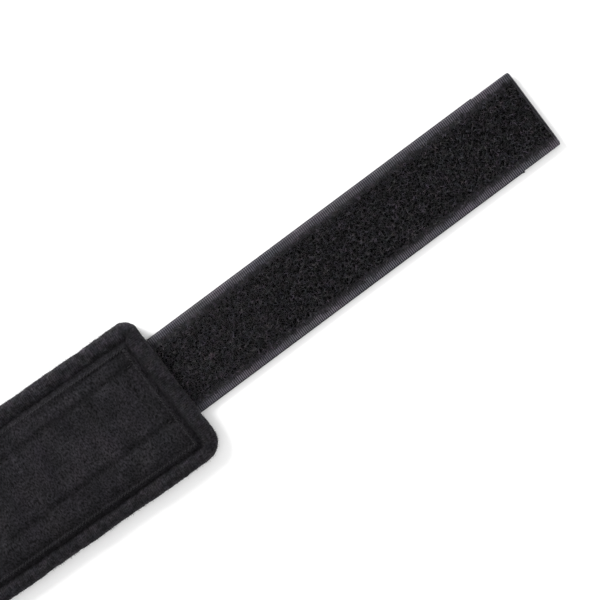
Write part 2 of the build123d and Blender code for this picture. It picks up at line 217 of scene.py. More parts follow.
def tubes(paths, radii, sides=3):
    """One closed tube along each path in paths (count, stations, 3)."""
    count, stations, _ = paths.shape
    tangent = unit(np.gradient(paths, axis=1))
    helper = np.where(np.abs(tangent[..., 2:]) > 0.9, [1.0, 0, 0], [0, 0, 1.0])
    side = unit(np.cross(tangent, helper))
    up = np.cross(side, tangent)
    angle = np.arange(sides) * 2 * np.pi / sides
    radii = np.broadcast_to(radii, (count, stations))[..., None, None]
    spokes = side[:, :, None] * np.cos(angle)[:, None] + up[:, :, None] * np.sin(angle)[:, None]
    points = (paths[:, :, None] + spokes * radii).reshape(-1, 3)
    c, i, j = np.meshgrid(np.arange(count), np.arange(stations - 1), np.arange(sides), indexing="ij")
    here, m = (c * stations + i) * sides, (j + 1) % sides
    quads = np.stack([here + j, here + m, here + sides + m, here + sides + j], -1).reshape(-1, 4).tolist()
    starts = np.arange(count)[:, None] * stations * sides
    heads = (starts + np.arange(sides)[::-1]).tolist()
    tails = (starts + (stations - 1) * sides + np.arange(sides)).tolist()
    return points, quads + heads + tails


def join_shapes(shapes):
    """Put several (points, faces) shapes into one."""
    points, faces, offset = [], [], 0
    for part_points, part_faces in shapes:
        points.append(part_points)
        faces += [[v + offset for v in face] for face in part_faces]
        offset += len(part_points)
    return np.concatenate(points), faces


def ribbon(path, across, up, half, thickness, t_top, t_under, top, under, narrow=None):
    """Closed flat band along path. top and under say how far each face stands proud at (along, across)."""
    along = run(path)
    across, up = np.broadcast_to(across, path.shape), np.broadcast_to(up, path.shape)
    narrow = np.zeros(len(path)) if narrow is None else narrow
    rim = 0.55

    def face(t, stand):
        edge = np.clip((np.abs(t) - half + rim) / rim, 0, 1)
        height = thickness / 2 * np.sqrt(np.clip(1 - 0.8 * edge ** 2, 0, 1))
        return height[None, :] + stand(along[:, None], t[None, :]) * (1 - edge[None, :])

    n_top = face(t_top, top)
    n_under = -face(t_under[::-1], under)
    side = np.full((len(path), 1), half + 0.12)
    widths = np.concatenate([np.broadcast_to(t_top, n_top.shape), side,
                             np.broadcast_to(t_under[::-1], n_under.shape), -side], 1)
    widths = widths * (1 - narrow[:, None] / half)
    heights = np.concatenate([n_top, side * 0, n_under, side * 0], 1)
    rings = path[:, None] + widths[..., None] * across[:, None] + heights[..., None] * up[:, None]
    return loft(rings)


def paint(piece, material, chosen):
    """Give the faces whose centres are chosen another material."""
    centres = np.empty(len(piece.data.polygons) * 3)
    piece.data.polygons.foreach_get("center", centres)
    indices = np.empty(len(piece.data.polygons), np.int32)
    piece.data.polygons.foreach_get("material_index", indices)
    indices[chosen(centres.reshape(-1, 3) / MM)] = len(piece.data.materials)
    piece.data.materials.append(material)
    piece.data.polygons.foreach_set("material_index", indices)


def slab(x, y, keep, top, under):
    """Closed sheet between two heights over the kept points of a grid."""
    cell = keep[:-1, :-1] & keep[1:, :-1] & keep[1:, 1:] & keep[:-1, 1:]
    used = np.zeros(x.shape, bool)
    for di in (0, 1):
        for dj in (0, 1):
            used[di:di + cell.shape[0], dj:dj + cell.shape[1]] |= cell
    count = int(used.sum())
    index = np.full(x.shape, -1)
    index[used] = np.arange(count)
    flat = np.stack([x[used], y[used]], 1)
    points = np.concatenate([np.column_stack([flat, top[used]]), np.column_stack([flat, under[used]])])
    i, j = np.nonzero(cell)
    a, b, c, d = index[i, j], index[i + 1, j], index[i + 1, j + 1], index[i, j + 1]
    quads = np.concatenate([np.stack([a, b, c, d], 1), np.stack([d, c, b, a], 1) + count])
    sides = np.concatenate([np.stack(pair, 1) for pair in ((a, b), (b, c), (c, d), (d, a))])
    border = set(map(tuple, sides.tolist()))
    walls = [[q, p, p + count, q + count] for p, q in sorted(border) if (q, p) not in border]
    return points, quads.tolist() + walls


# ---- materials
def cloth(name, dark, light, grain, blotch=9.0, mottle=0.25, bump=0.3, depth=0.12, sparkle=0.0,
          roughness=0.85, sheen=0.05, specular=0.1, stretch=(1, 1, 1), toned=True, hues=0.25):
    """Cloth whose fibres are grain mm across: colour, sparkle, roughness and bump all follow them."""
    material = bpy.data.materials.new(name)
    material.use_nodes = True
    tree = material.node_tree

    def fill(node, inputs):
        """Give each input its plain value, or link it to another node's output."""
        for key, value in inputs.items():
            if isinstance(value, bpy.types.NodeSocket):
                tree.links.new(value, node.inputs[key])
            else:
                node.inputs[key].default_value = value
        return node

    def add(kind, inputs, **settings):
        node = tree.nodes.new("ShaderNode" + kind)
        for key, value in settings.items():
            setattr(node, key, value)
        return fill(node, inputs)

    def noise_node(size, detail):
        return add("TexNoise", {"Scale": 1 / (size * MM), "Detail": detail, "Roughness": 0.6,
                                          "Vector": place})

    place = add("TexCoord", {}).outputs["Object"]
    place = add("Mapping", {"Scale": stretch, "Vector": place}).outputs["Vector"]
    fibre, patches = noise_node(grain * 2.2, 3.0).outputs["Fac"], noise_node(blotch, 2.0)
    ramp = add("ValToRGB", {"Fac": fibre})
    for element, position, dye in zip(ramp.color_ramp.elements, (0.34, 0.68), (dark, light)):
        element.position = position
        element.color = (*dye, 1)
    tone = add("MapRange", {"From Min": 0.3, "From Max": 0.7, "To Min": 1 - mottle, "To Max": 1 + mottle,
                            "Value": patches.outputs["Fac"]}).outputs["Result"]
    lean = add("VectorMath", {0: patches.outputs["Color"], 1: (hues,) * 3, 2: (1 - hues / 2,) * 3},
               operation="MULTIPLY_ADD")
    dyed = add("VectorMath", {0: ramp.outputs["Color"], 1: lean.outputs["Vector"]}, operation="MULTIPLY")
    if toned:
        own = add("Attribute", {}, attribute_name="tone").outputs["Fac"]
        tone = add("Math", {0: own, 1: tone}, operation="MULTIPLY").outputs["Value"]
    tint = add("VectorMath", {0: dyed.outputs["Vector"], "Scale": tone}, operation="SCALE")
    colour = tint.outputs["Vector"]
    if sparkle:
        specks = add("TexVoronoi", {"Scale": 1 / (grain * 1.4 * MM), "Vector": place})
        pick = add("MapRange", {"From Min": 0.16, "From Max": 0.05, "To Max": sparkle,
                                          "Value": specks.outputs["Distance"]})
        glint = (light[0] * 3.2, light[1] * 3.2, light[2] * 3.2, 1)
        colour = add("Mix", {"B": glint, "Factor": pick.outputs["Result"], "A": colour},
                     data_type="RGBA").outputs["Result"]
    rough = add("MapRange", {"To Min": roughness + 0.12, "To Max": roughness - 0.15, "Value": fibre})
    raised = add("Bump", {"Strength": bump, "Distance": depth * MM, "Height": fibre})
    fill(tree.nodes["Principled BSDF"], {
        "Specular IOR Level": specular, "Sheen Weight": sheen, "Sheen Roughness": 0.4, "Base Color": colour,
        "Roughness": rough.outputs["Result"], "Normal": raised.outputs["Normal"]})
    return material


def black(name, dark, light, grain, **more):
    """Cloth or plastic in a near-neutral black dye that leans slightly to violet."""
    dark, light = ((value * 1.01, value * 0.95, value * 1.12) for value in (dark, light))
    return cloth(name, dark, light, grain, **more)


NAP = black("napped_fibre", 0.010, 0.026, 0.4, blotch=5, mottle=0.4, bump=0.1, depth=0.02)
LINING = black("velour_lining", 0.0012, 0.0185, 0.29, blotch=9, mottle=0.3, bump=0.9, depth=0.3,
               sparkle=0.2, sheen=0.04, specular=0.06, stretch=(1, 0.55, 1), hues=0.18)
COVER = black("knitted_cover", 0.003, 0.013, 0.3, bump=0.7, depth=0.15)
FOAM = black("closed_cell_foam", 0.02, 0.04, 0.6, bump=0.5, depth=0.2, roughness=0.7, sheen=0.0)
BINDING = black("ribbed_binding", 0.003, 0.015, 0.33, blotch=4, mottle=0.3, bump=0.9, depth=0.25,
                sparkle=0.2, sheen=0.07, specular=0.06, hues=0.35)
THREAD = black("sewing_thread", 0.006, 0.018, 0.16, blotch=4, bump=0.5, depth=0.08, roughness=0.6,
               specular=0.12)
TAPE = black("woven_tape", 0.029, 0.047, 0.2, blotch=14, mottle=0.15, bump=0.4, depth=0.06,
             roughness=0.6, sheen=0.0, specular=0.1)
# The tape's ground under the loops, painted far darker than the tape itself as painted shade under the pile.
SHADED_PILE_BED = black("shaded_pile_bed", 0.0008, 0.004, 0.4, blotch=4, mottle=0.4, bump=0.9, depth=0.35, sheen=0.0,
                 specular=0.03)
LOOPS = black("loop_filament", 0.009, 0.024, 0.5, blotch=2.5, mottle=0.5, bump=0.1, depth=0.02,
              roughness=0.45, sheen=0.0, specular=0.25, hues=0.7)
HOOKS = black("moulded_hooks", 0.008, 0.017, 0.5, blotch=6, bump=0.2, depth=0.05, roughness=0.45, sheen=0.0,
              specular=0.3)
WEBBING = black("woven_webbing", 0.007, 0.020, 0.3, blotch=8, bump=0.5, depth=0.1, roughness=0.6,
                specular=0.2)
NYLON = black("pocket_nylon", 0.006, 0.014, 0.25, blotch=12, bump=0.4, depth=0.06, roughness=0.5,
              specular=0.2)
LABEL = cloth("label_satin", (0.30, 0.30, 0.29), (0.42, 0.42, 0.41), 0.2, blotch=8, mottle=0.06,
              bump=0.3, depth=0.05, roughness=0.45, specular=0.3, hues=0.04)
ACETAL = black("moulded_acetal", 0.006, 0.011, 1.2, blotch=9, mottle=0.15, bump=0.15, depth=0.05,
               roughness=0.38, sheen=0.0, specular=0.4, toned=False)
SEALED = black("heat_sealed_edge", 0.03, 0.13, 0.4, blotch=3, bump=0.4, depth=0.1, roughness=0.4, sheen=0.0,
               specular=0.3)


def brushed_metal():
    """Aluminium strip drawn and brushed lengthwise, with fine scratches and dull patches."""
    material = cloth("brushed_aluminium", (0.62, 0.63, 0.65), (0.80, 0.81, 0.83), 0.25, blotch=16,
                     mottle=0.06, bump=0.35, depth=0.03, roughness=0.38, sheen=0.0, specular=0.5,
                     stretch=(1, 0.03, 1), toned=False, hues=0.0)
    material.node_tree.nodes["Principled BSDF"].inputs["Metallic"].default_value = 1.0
    return material


# ---- the padded body's outline
def loops_at(node, height):
    """Closed outlines of the flat face that a CAD node has at a height, in mm."""
    mesh = frame["nodes"][node].data
    points = np.array([v.co for v in mesh.vertices]) / MM
    keys = [tuple(p) for p in np.round(points, 3)]
    edges = {}
    mesh.calc_loop_triangles()
    for triangle in mesh.loop_triangles:
        corner = [keys[i] for i in triangle.vertices]
        if max(abs(c[2] - height) for c in corner) < 0.01:
            for a, b in zip(corner, corner[1:] + corner[:1]):
                if (b, a) in edges:
                    del edges[(b, a)]
                else:
                    edges[(a, b)] = True
    following = dict(edges.keys())
    loops = []
    while following:
        start = next(iter(following))
        loop, here = [start], following.pop(start)
        while here != start:
            loop.append(here)
            here = following.pop(here)
        loops.append(np.array(loop)[:, :2])
    return sorted(loops, key=len)


def resample(loop, step):
    """Evenly spaced points and outward normals round a closed outline."""
    points = evenly(loop, step)
    reach = max(1, int(0.8 / step))
    tangent = unit(np.roll(points, -reach, 0) - np.roll(points, reach, 0))
    normal = np.stack([tangent[:, 1], -tangent[:, 0]], 1)
    area = np.sum(points[:, 0] * np.roll(points[:, 1], -1) - np.roll(points[:, 0], -1) * points[:, 1])
    return points, normal * np.sign(area)


def body_loop():
    """The palm's and the arm's foam outlines, joined where the arm folds."""
    chains = []
    for node in ("palm_foam", "arm_foam"):
        loops = loops_at(node, Z_LINING)
        outer = max(loops, key=lambda loop: np.ptp(loop[:, 0]) * np.ptp(loop[:, 1]))
        at_fold = np.abs(outer[:, 0] - X_FOLD) < 0.3
        ends = np.nonzero(at_fold)[0]
        first = [i for i in ends if at_fold[i - 1]][0]
        chains.append(np.roll(outer, -first, 0))
    return np.vstack(chains)


EDGE, EDGE_OUT = resample(body_loop(), OUTLINE_STEP)
EDGE = EDGE + EDGE_OUT * WALL
# The binding is turned over further at the arm's end, round the strap, and along the arm's hand side.
EDGE_WIDE = 1 + 0.08 * smooth(EDGE_OUT[:, 0]) * smooth((EDGE[:, 0] - ARM_HIGH[0] + 20) / 10)
EDGE_WIDE += 0.15 * smooth(EDGE_OUT[:, 1]) * smooth((EDGE[:, 0] - X_FOLD - 10) / 20)
HOLE = min(loops_at("palm_foam", Z_LINING), key=lambda loop: np.ptp(loop[:, 0]))
HOLE, HOLE_OUT = resample(HOLE, OUTLINE_STEP)
HOLE = HOLE - HOLE_OUT * WALL


def tree_of(points):
    tree = KDTree(len(points))
    for i, p in enumerate(points):
        tree.insert((p[0], p[1], 0), i)
    tree.balance()
    return tree


EDGE_TREE, HOLE_TREE = tree_of(EDGE), tree_of(HOLE)


def depth_in(x, y):
    """How far inside the finished outline each point is, and the thumb hole counts as an edge."""
    result = np.empty(x.size)
    for k, (px, py) in enumerate(zip(x.ravel(), y.ravel())):
        _, i, far = EDGE_TREE.find((px, py, 0))
        inside = (px - EDGE[i, 0]) * EDGE_OUT[i, 0] + (py - EDGE[i, 1]) * EDGE_OUT[i, 1] < 0
        _, j, near = HOLE_TREE.find((px, py, 0))
        outside = (px - HOLE[j, 0]) * HOLE_OUT[j, 0] + (py - HOLE[j, 1]) * HOLE_OUT[j, 1] > 0
        result[k] = min((far if inside else -far) / EDGE_WIDE[i], (near if outside else -near) + 1.0)
    return result.reshape(x.shape)


# ---- heights of the padding
POCKET = Line((X_POCKET, POCKET_LOW[1]), (0.0, 1.0))
STAY_WAY_OUT = 20
SUPPORTS = [
    (STRAP, -STRAP_SEWN, 190, STRAP_HALF),
    (HAND, -HAND_SEWN, 140, HAND_HALF),
    (WRIST_TAB, -11, 12, STRAP_HALF),
    (HAND_TAB, -11, 12, HAND_HALF),
    (POCKET, -STAY_WAY_OUT, POCKET_HIGH[1] - POCKET_LOW[1], POCKET_HIGH[0] - X_POCKET),
]
DROOP = 2.0


def droop(x, y):
    """How far the padding sinks to the table away from the straps, tabs and pocket under it."""
    nearest = np.full(np.shape(x), 1e3)
    for line, start, stop, half in SUPPORTS:
        s, t = line.local(x, y)
        off_end = np.maximum(np.maximum(start - s, s - stop), 0)
        nearest = np.minimum(nearest, np.hypot(off_end, np.maximum(np.abs(t) - half, 0)))
    return DROOP * smooth((nearest - 1.0) / 11)


def seam_dimples(x, y):
    """Soft valleys where the straps' and the pocket's seams pull the lining down."""
    s, t = STRAP.local(x, y)
    on = smooth((s + STRAP_SEWN - 2) / 4) * smooth((-8.0 - s) / 3)
    pull = 0.82 + 0.18 * wave(s, SEAM_PITCH)
    valley = on * pull * (dimple(t - SEAM_HALF_GAP, 1.5) + dimple(t + SEAM_HALF_GAP, 1.5))
    across = x - X_POCKET
    on = smooth((y - POCKET_LOW[1] - 1) / 3) * smooth((POCKET_HIGH[1] - 1 - y) / 3)
    pull = 0.82 + 0.18 * wave(y, SEAM_PITCH)
    return valley + on * pull * (dimple(across - POCKET_SEAM, 1.4) + dimple(across + POCKET_SEAM, 1.4))


def smoothed(depths, values, reach=0.5):
    """A table of a profile through the given places, with its corners rounded over reach."""
    fine = np.arange(0, 40, 0.05)
    kernel = np.hanning(2 * int(reach / 0.05) + 3)
    padded = np.pad(np.interp(fine, depths, values), len(kernel) // 2, mode="edge")
    return fine, np.convolve(padded, kernel / kernel.sum(), mode="valid")


LINING_HEIGHT = smoothed([5.0, 6.4, 7.1, 7.8, 8.5, 9.1, 9.7, 10.3, 11.3, 13, 17, 26],
                         [5.2, 5.45, 5.6, 5.95, 6.6, 6.95, 6.75, 6.45, 6.85, 7.25, 7.55, 7.75])
# Painted shade in the ditch and the hollow beyond it, and a painted highlight on the ridge between, by depth
# inside the edge.
LINING_SHADE_AND_HIGHLIGHT = smoothed([6.0, 6.6, 7.1, 7.7, 8.4, 9.1, 9.7, 10.2, 11.0, 12.5],
                       [0.8, 0.62, 0.55, 0.68, 1.0, 1.25, 0.9, 0.6, 0.9, 1.0], 0.3)


def ditch_depth(x, y, depth):
    """Depth inside the edge as the hand-guided seam wanders."""
    return depth + 0.35 * noise(x, y, 14, 3) + 0.12 * noise(x, y, 4, 4)


def lining_nap_and_painted_shade(x, y, depth):
    """The nap is brushed unevenly; painted shade darkens it in the ditch, the hollow beyond the ditch's ridge
    and the seams' valleys, and a painted highlight lightens that ridge.
    """
    brushed = 1 + 0.16 * noise(x, y, 5, 9) + 0.12 * noise(x, y, 2.2, 10)
    brushed = brushed + 0.15 * noise(x * 1.6, y * 0.7, 1.1, 12)
    # Painted shade in the seams' valleys.
    shaded = 1 - 0.42 * np.minimum(seam_dimples(x, y), 1)
    return np.interp(ditch_depth(x, y, depth), *LINING_SHADE_AND_HIGHLIGHT) * brushed * shaded


def lining_top(x, y, depth):
    base = np.interp(ditch_depth(x, y, depth), *LINING_HEIGHT)
    quilt = smooth((depth - 9) / 6)
    rumple = 0.16 * noise(x, y, 7, 5) + 0.12 * noise(x, y * 0.35, 2.6, 6) + 0.05 * noise(x, y, 1.3, 7)
    return base + quilt * rumple - 0.85 * seam_dimples(x, y) - droop(x, y)


COVER_DEPTHS = [0, 5.0, 6.8, 7.6, 9.0, 12]
COVER_HEIGHTS = [3.5, 3.5, 3.75, 3.7, 3.3, 3.22]


def cover_under(x, y, depth):
    base = np.interp(depth, COVER_DEPTHS, COVER_HEIGHTS)
    return base + 0.03 * noise(x, y, 6, 8) - droop(x, y)


def grid_slab(step, least, top, under):
    """Closed sheet over the body, cut at the given depth inside the edge."""
    xs = np.arange(PALM_LOW[0], ARM_HIGH[0] + step, step)
    ys = np.arange(PALM_LOW[1], PALM_HIGH[1] + step, step)
    x, y = np.meshgrid(xs, ys, indexing="ij")
    near = (x < X_FOLD + 2) | (np.abs(y - Y_ARM) < ARM_HIGH[1] - Y_ARM + 2)
    depth = np.full(x.shape, -1.0)
    depth[near] = depth_in(x[near], y[near])
    keep = depth >= least
    return slab(x, y, keep, top(x, y, depth), under(x, y, depth))


# ---- bodies that a piece moves with
Z_MID = (Z_GROUND + Z_TOP) / 2
ARM_ZONE = ((X_FOLD - 1, Y_ARM, Z_MID), (X_FOLD + 11, Y_ARM, Z_MID))


def finish_piece(piece, replaced, follows):
    """Hide the CAD nodes a piece stands for, and parent it to the body it follows; a piece that follows the
    bend of two bodies only has its placement baked into its mesh.
    """
    if replaced:
        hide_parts(*replaced)
    if isinstance(follows, str):
        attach(piece, follows)
    else:
        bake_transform(piece)


def add_piece(name, shape, material, replaced, follows, tone=1.0):
    piece = make(name, *shape, material, tone)
    finish_piece(piece, replaced, follows)
    return piece


BODY_BLEND = ("palm", "arm", ARM_ZONE)


def make_padding():
    shape = grid_slab(0.74, 5.2, lining_top, lambda x, y, d: lining_top(x, y, d) - 0.7)
    x, y = shape[0][:, 0], shape[0][:, 1]
    # The lining's brushed nap, with its painted shade and painted highlight.
    tone = lining_nap_and_painted_shade(x, y, depth_in(x, y))
    both = ["palm_lining", "arm_lining"]
    lining = add_piece("body_lining", shape, LINING, both, BODY_BLEND, tone)
    shape = grid_slab(2.0, 4.6, lambda x, y, d: lining_top(x, y, d) - 0.75,
                      lambda x, y, d: cover_under(x, y, d) + 0.65)
    foam = add_piece("body_foam", shape, FOAM, ["palm_foam", "arm_foam"], BODY_BLEND)
    shape = grid_slab(1.1, 5.2, lambda x, y, d: cover_under(x, y, d) + 0.6, cover_under)
    cover = add_piece("body_cover", shape, COVER, ["palm_cover", "arm_cover"], BODY_BLEND)


# Section of the rolled binding, as (inward from the edge, height): its outer face, then back inside.
BINDING_OUTER = [
    (7.5, 4.9), (7.0, 5.4), (6.4, 6.0), (5.6, 6.75), (4.7, 7.4), (3.7, 7.85), (2.7, 7.95), (1.8, 7.7),
    (1.0, 7.15), (0.4, 6.35), (0.08, 5.4), (0.08, 4.4), (0.4, 3.4), (1.2, 2.7), (2.6, 2.42), (4.4, 2.4),
    (6.4, 2.46),
]
BINDING_INNER = [
    (6.4, 3.1), (3.4, 3.2), (1.8, 3.8), (1.2, 4.9), (2.0, 6.4), (3.6, 7.0), (5.4, 5.8), (6.9, 4.5),
]
RIB = 0.84


def roll(outline, outward, wide, seed=0):
    """The binding rolled over an edge, a ribbed cloth tube of C section along the outline, and its tones:
    random nap with painted shade and highlight on the ribs, painted shade into the ditch and a painted
    highlight on the rim.
    """
    outer = np.array(BINDING_OUTER)
    k = np.linspace(0, len(outer) - 1, 25)
    outer = np.stack([np.interp(k, np.arange(len(outer)), outer[:, i]) for i in (0, 1)], 1)
    outer[1:-1] = (outer[:-2] + 2 * outer[1:-1] + outer[2:]) / 4
    profile = np.concatenate([outer, BINDING_INNER])
    shown = (np.arange(len(profile)) < len(outer)).astype(float)[None, :]
    tangent = unit(np.roll(profile, -1, 0) - np.roll(profile, 1, 0))
    proud = np.stack([-tangent[:, 1], tangent[:, 0]], 1)
    proud *= np.sign(np.sum(proud[8] * [-0.3, 1.0]))
    girth = run(profile)[None, :]
    s = (np.arange(len(outline)) * OUTLINE_STEP)[:, None]
    lean = 0.5 * noise(s, girth * 0.3, 6, 24 + seed)
    rib = wave(s + lean, RIB)
    ribs = 0.06 * rib + 0.09 * noise(s, girth * 0.4, 2.1, 21 + seed) + 0.12 * noise(s, girth, 1.0, 23 + seed)
    stand = (ribs + 0.20 * noise(s, girth * 0.3, 11, 22 + seed)) * shown
    depth = profile[None, :, 0] * wide[:, None] + stand * proud[None, :, 0]
    height = np.maximum(profile[None, :, 1] + stand * proud[None, :, 1], Z_GROUND - 0.05)
    px = outline[:, :1] - outward[:, :1] * depth
    py = outline[:, 1:] - outward[:, 1:] * depth
    shape = loft(np.stack([px, py, height - droop(px, py)], -1), closed=True)
    # Rib tops painted lighter and rib gaps darker, as painted highlight and shade, with random nap on top.
    nap = 1 + 0.35 * rib + 0.5 * noise(s, girth * 0.8, 0.9, 25 + seed) + 0.2 * noise(s, girth, 3.3, 26 + seed)
    # Painted shade where the binding turns down into the ditch.
    into = smooth((profile[None, :, 0] - 5.2) / 1.8) * (profile[None, :, 1] > 4)
    # Painted highlight on the outer rim, stronger on the side facing the key light.
    painted_rim_highlight = 1 + 0.6 * smooth((2.8 - profile[None, :, 0]) / 2.6) + 0.3 * smooth(outward[:, 1:])
    return shape, (nap * painted_rim_highlight * (1 - 0.42 * into)).ravel()


STITCH_INSET = 9.1
UNDER_STITCH_INSET = 5.4


def inset_path(outline, outward, inset, tree, step):
    """Evenly spaced points, with their direction, on the line that lies inset inside an outline."""
    points = outline - outward * inset[:, None]
    near = np.array([tree.find((p[0], p[1], 0))[2] for p in points])
    points = points[near > inset - 0.08]
    place = evenly(points, step)
    return place, unit(np.roll(place, -1, 0) - np.roll(place, 1, 0))


def stitches(place, tangent, height, length, radius, slant=0.0, proud=0.15, side=1):
    """Short thick threads on a surface, each sunk at its ends. side is -1 on an underside."""
    stations = np.linspace(-1, 1, 7)
    turned = np.stack([tangent[:, 0] * math.cos(slant) - tangent[:, 1] * math.sin(slant),
                       tangent[:, 0] * math.sin(slant) + tangent[:, 1] * math.cos(slant)], 1)
    flat = place[:, None] + turned[:, None] * (stations * length / 2)[None, :, None]
    arch = proud - (radius + proud) * 1.2 * stations[None, :] ** 4
    lift = np.broadcast_to(height, (len(place),))[:, None] + side * arch
    paths = np.concatenate([flat, lift[..., None]], -1)
    return tubes(paths, radius * np.sqrt(1 - 0.7 * stations ** 2), 6)


def fibres(roots, headings, lengths, radius, rng):
    """Short bent fibres standing on a nap."""
    along = np.linspace(0, 1, 3)[None, :, None]
    bend = rng.normal(0, 0.35, (len(roots), 1, 3)) * along ** 2
    paths = roots[:, None] + (headings[:, None] * along + bend) * lengths[:, None, None]
    lowest = np.maximum(Z_GROUND - droop(roots[:, 0], roots[:, 1]), 0.1)[:, None]
    paths[..., 2] = np.clip(paths[..., 2], lowest, Z_TOP + 0.5)
    lit = np.repeat(rng.lognormal(0, 0.5, len(roots)), 9)
    return tubes(paths, radius * np.array([[1.0, 0.9, 0.5]]), 3), lit


def edge_fuzz(outline, outward, wide, count, seed):
    """Fibres of the binding's nap over its outer face."""
    rng = np.random.default_rng(seed)
    profile = np.array(BINDING_OUTER)
    k = rng.uniform(1, len(profile) - 4, count)
    low, share = k.astype(int), (k % 1)[:, None]
    section = profile[low] * (1 - share) + profile[low + 1] * share
    rise = unit(profile[low + 1] - profile[low])
    i = rng.integers(0, len(outline), count)
    depth = section[:, 0] * wide[i]
    place = outline[i] - outward[i] * depth[:, None]
    roots = np.column_stack([place, section[:, 1] - 0.1 - droop(*place.T)])
    headings = np.column_stack([outward[i] * rise[:, 1:] * -1, -rise[:, 0]])
    headings = unit(headings + rng.normal(0, 0.7, headings.shape))
    return fibres(roots, headings, rng.uniform(0.3, 0.7, count), 0.045, rng)


def lining_nap(count, seed):
    """Fibres brushed across the lining."""
    rng = np.random.default_rng(seed)
    x = rng.uniform(PALM_LOW[0], ARM_HIGH[0], count * 3)
    y = rng.uniform(PALM_LOW[1], PALM_HIGH[1], count * 3)
    inside = (x < X_FOLD) | (np.abs(y - Y_ARM) < ARM_HIGH[1] - Y_ARM)
    x, y = x[inside], y[inside]
    depth = depth_in(x, y)
    x, y, depth = (v[depth > 8][:count] for v in (x, y, depth))
    roots = np.column_stack([x, y, lining_top(x, y, depth) - 0.04])
    headings = unit(np.array([0.0, 1.0, 0.22]) + rng.normal(0, 0.3, roots.shape) * [1, 1, 0.3])
    return fibres(roots, headings, rng.uniform(0.6, 1.4, len(x)), 0.05, rng)


def cover_stitches(outline, outward, inset, tree):
    """The seam in the ditch beside the binding."""
    place, tangent = inset_path(outline, outward, inset, tree, 1.55)
    height = lining_top(*place.T, np.full(len(place), STITCH_INSET))
    return stitches(place, tangent, height, 2.0, 0.28, slant=0.5, proud=0.08)


def make_edges():
    hole_wide = np.full(len(HOLE), HOLE_WIDE)
    shape, tone = roll(EDGE, EDGE_OUT, EDGE_WIDE)
    add_piece("body_binding", shape, BINDING, ["palm_binding", "arm_binding"], BODY_BLEND, tone)
    shape, tone = roll(HOLE, -HOLE_OUT, hole_wide, seed=5)
    add_piece("thumb_binding_roll", shape, BINDING, ["thumb_binding"], "palm", tone)
    upper = cover_stitches(EDGE, EDGE_OUT, STITCH_INSET * EDGE_WIDE, EDGE_TREE)
    place, tangent = inset_path(EDGE, EDGE_OUT, np.full(len(EDGE), UNDER_STITCH_INSET), EDGE_TREE, 3.0)
    lower = stitches(place, tangent, Z_GROUND + 0.14 - droop(*place.T), 2.3, 0.28, proud=-0.05, side=-1)
    shape, seams = join_shapes([upper, lower]), ["palm_binding_seam", "arm_binding_seam"]
    add_piece("body_binding_stitches", shape, THREAD, seams, BODY_BLEND, 0.6)
    shape, tone = edge_fuzz(EDGE, EDGE_OUT, EDGE_WIDE, 9000, 81)
    add_piece("body_binding_fuzz", shape, NAP, [], BODY_BLEND, tone)
    shape, tone = edge_fuzz(HOLE, -HOLE_OUT, hole_wide, 1100, 82)
    add_piece("thumb_binding_fuzz", shape, NAP, [], "palm", tone)
    shape, tone = lining_nap(11000, 83)
    add_piece("body_lining_nap", shape, NAP, [], BODY_BLEND, tone)
    shape = cover_stitches(HOLE, -HOLE_OUT, np.full(len(HOLE), STITCH_INSET - 1.0), HOLE_TREE)
    add_piece("thumb_binding_stitches", shape, THREAD, ["thumb_binding_seam"], "palm", 0.6)


make_padding()
make_edges()


# ---- straps
TAPE_LOW, TAPE_HIGH = Z_UNDER + 0.02, Z_UNDER + 0.85     # upper tape's ground weave
UPPER_TRIM, UNDER_SPREAD = 0.15, 0.2                    # the under tape shows beside the upper one
UNDER_LOW, UNDER_HIGH = 0.5, Z_UNDER - 0.02
WEFT = 0.92
FINE = WEFT / 4
UNDER_STEP = 0.25
HOOK_LOW, HOOK_SEAM = 0.45, 0.42


def sway(s):
    """The strap's slight rise and fall as it lies."""
    return 0.12 + 0.12 * noise(s, 0 * s, 37, 31)


def weft(s, t):
    """The selvages' ribs, which wander a little."""
    return wave(s + 0.06 * noise(s, t, 5, 42), WEFT)


def level(along, t):
    return 0 * (along + t)


def rounded(stations, tip):
    """How much a band narrows over the last millimetre before its tip."""
    into = np.clip((stations - tip + 1.0) / 1.0, 0, 1)
    return 1 - np.sqrt(1 - into ** 2)


